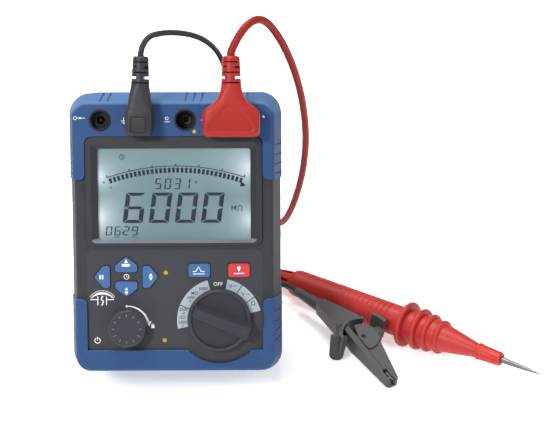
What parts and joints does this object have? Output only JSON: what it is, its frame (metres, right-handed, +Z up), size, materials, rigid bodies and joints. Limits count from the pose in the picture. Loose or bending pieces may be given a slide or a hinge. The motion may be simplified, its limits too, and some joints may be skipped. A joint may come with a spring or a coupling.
{
  "type": "megohmmeter",
  "caption": "Handheld insulation tester leaning on its fold-out stand, with display, rotary dial, test button, and red probe and black clip on long leads.",
  "frame": {"origin": "on the bench, under the middle of the meter's box", "axes": "+Z up, +X to the right seen from the front, -Y towards the person who reads the display"},
  "size_m": [0.3324, 0.3193, 0.2599],
  "materials": {
    "case_plastic": "fine moulded texture",
    "guard_plastic": "satin moulded plastic with a fine grain",
    "bezel_plastic": "satin",
    "window": "clear, glossy",
    "lcd_glass": "smooth grey-green display",
    "light_box": "white diffuser",
    "label_film": "fine-textured printed film",
    "circuit_board": "solder resist",
    "transformer_core": "ferrite with a wound coil",
    "capacitor_sleeve": "sleeved cans",
    "chip_plastic": "moulded",
    "socket_plastic": "moulded",
    "contact_metal": "plated brass",
    "keypad_rubber": "silicone",
    "wafer_plastic": "moulded",
    "cell_can": "sleeved battery cell",
    "bright_metal": "nickel plated",
    "ribbon_plastic": "flat cable",
    "knob_plastic": "satin moulded",
    "blue_key": "soft satin",
    "red_key": "soft satin",
    "stand_plastic": "moulded texture",
    "black_plug_plastic": "moulded texture",
    "red_plug_plastic": "moulded texture",
    "black_lead_cover": "soft lead insulation",
    "red_lead_cover": "soft lead insulation",
    "tie_plastic": "hook and loop strap",
    "clip_plastic": "satin moulded"
  },
  "bodies": {
    "meter": {"front_case": "case_plastic", "rear_case": "case_plastic", "top_guard": "guard_plastic", "bottom_guard": "guard_plastic", "display_bezel": "bezel_plastic", "display_window": "window", "lcd_panel": "lcd_glass", "backlight_box": "light_box", "label_panel": "label_film", "control_board": "circuit_board", "main_board": "circuit_board", "hv_transformer": "transformer_core", "hv_capacitors": "capacitor_sleeve", "board_chips": "chip_plastic", "socket_liners": "socket_plastic", "socket_contacts": "contact_metal", "dc_socket": "socket_plastic", "keypad_mat": "keypad_rubber", "switch_wafer": "wafer_plastic", "test_switch": "chip_plastic", "battery_cells": "cell_can", "battery_contacts": "bright_metal", "battery_tray": "case_plastic", "battery_door": "case_plastic", "door_screws": "bright_metal", "case_screws": "bright_metal", "stand_pin": "bright_metal", "ribbon_cable": "ribbon_plastic", "test_spring": "bright_metal", "black_plug": "black_plug_plastic", "red_plug": "red_plug_plastic", "plug_pins": "bright_metal", "black_lead": "black_lead_cover", "black_coil": "black_lead_cover", "black_tail": "black_lead_cover", "red_lead": "red_lead_cover", "red_coil": "red_lead_cover", "red_tail": "red_lead_cover", "coil_ties": "tie_plastic", "probe_grip": "red_plug_plastic", "probe_shroud": "red_plug_plastic", "probe_tip": "bright_metal", "clip_body": "clip_plastic", "clip_jaw_fixed": "bright_metal", "clip_pin": "bright_metal", "clip_spring": "bright_metal"},
    "dial": {"function_knob": "knob_plastic", "function_shaft": "bright_metal", "switch_rotor": "wafer_plastic"},
    "test_slider": {"test_plunger": "knob_plastic"},
    "test_button": {"test_knob": "knob_plastic"},
    "stand": {"tilt_stand": "stand_plastic"},
    "clip_arm": {"clip_lever": "clip_plastic", "clip_jaw_moving": "bright_metal"},
    "key_up_cap": {"key_up": "blue_key"},
    "key_down_cap": {"key_down": "blue_key"},
    "key_left_cap": {"key_left": "blue_key"},
    "key_right_cap": {"key_right": "blue_key"},
    "key_peak_cap": {"key_peak": "blue_key"},
    "key_lamp_cap": {"key_lamp": "red_key"}
  },
  "joints": [
    {"name": "dial_turn", "type": "hinge", "parent": "meter", "child": "dial", "pos_m": [0.0306, -0.06302, 0.0718], "axis": [0, -0.9063, 0.4226], "range_deg": [-135, 22.5]},
    {"name": "test_press", "type": "slide", "parent": "meter", "child": "test_slider", "axis": [0, 0.9063, -0.4226], "range_m": [0, 0.0024], "stiffness_N_per_m": 1500, "deforming": ["test_spring"]},
    {"name": "test_turn", "type": "hinge", "parent": "test_slider", "child": "test_button", "pos_m": [-0.0327, -0.06505, 0.06745], "axis": [0, -0.9063, 0.4226], "range_deg": [-90, 0]},
    {"name": "stand_fold", "type": "hinge", "parent": "meter", "child": "stand", "pos_m": [0, 0.05416, 0.12717], "axis": [1, 0, 0], "range_deg": [-34.76, 0]},
    {"name": "clip_squeeze", "type": "hinge", "parent": "meter", "child": "clip_arm", "pos_m": [0.13413, -0.01414, 0.01503], "axis": [0.1103, -0.2057, 0.9724], "range_deg": [0, 18], "stiffness_Nm_per_rad": 0.4, "springref_deg": -14.32},
    {"name": "key_up_press", "type": "slide", "parent": "meter", "child": "key_up_cap", "axis": [0, 0.9063, -0.4226], "range_m": [0, 0.0012], "stiffness_N_per_m": 1000},
    {"name": "key_down_press", "type": "slide", "parent": "meter", "child": "key_down_cap", "axis": [0, 0.9063, -0.4226], "range_m": [0, 0.0012], "stiffness_N_per_m": 1000},
    {"name": "key_left_press", "type": "slide", "parent": "meter", "child": "key_left_cap", "axis": [0, 0.9063, -0.4226], "range_m": [0, 0.0012], "stiffness_N_per_m": 1000},
    {"name": "key_right_press", "type": "slide", "parent": "meter", "child": "key_right_cap", "axis": [0, 0.9063, -0.4226], "range_m": [0, 0.0012], "stiffness_N_per_m": 1000},
    {"name": "key_peak_press", "type": "slide", "parent": "meter", "child": "key_peak_cap", "axis": [0, 0.9063, -0.4226], "range_m": [0, 0.0012], "stiffness_N_per_m": 1000},
    {"name": "key_lamp_press", "type": "slide", "parent": "meter", "child": "key_lamp_cap", "axis": [0, 0.9063, -0.4226], "range_m": [0, 0.0012], "stiffness_N_per_m": 1000}
  ]
}
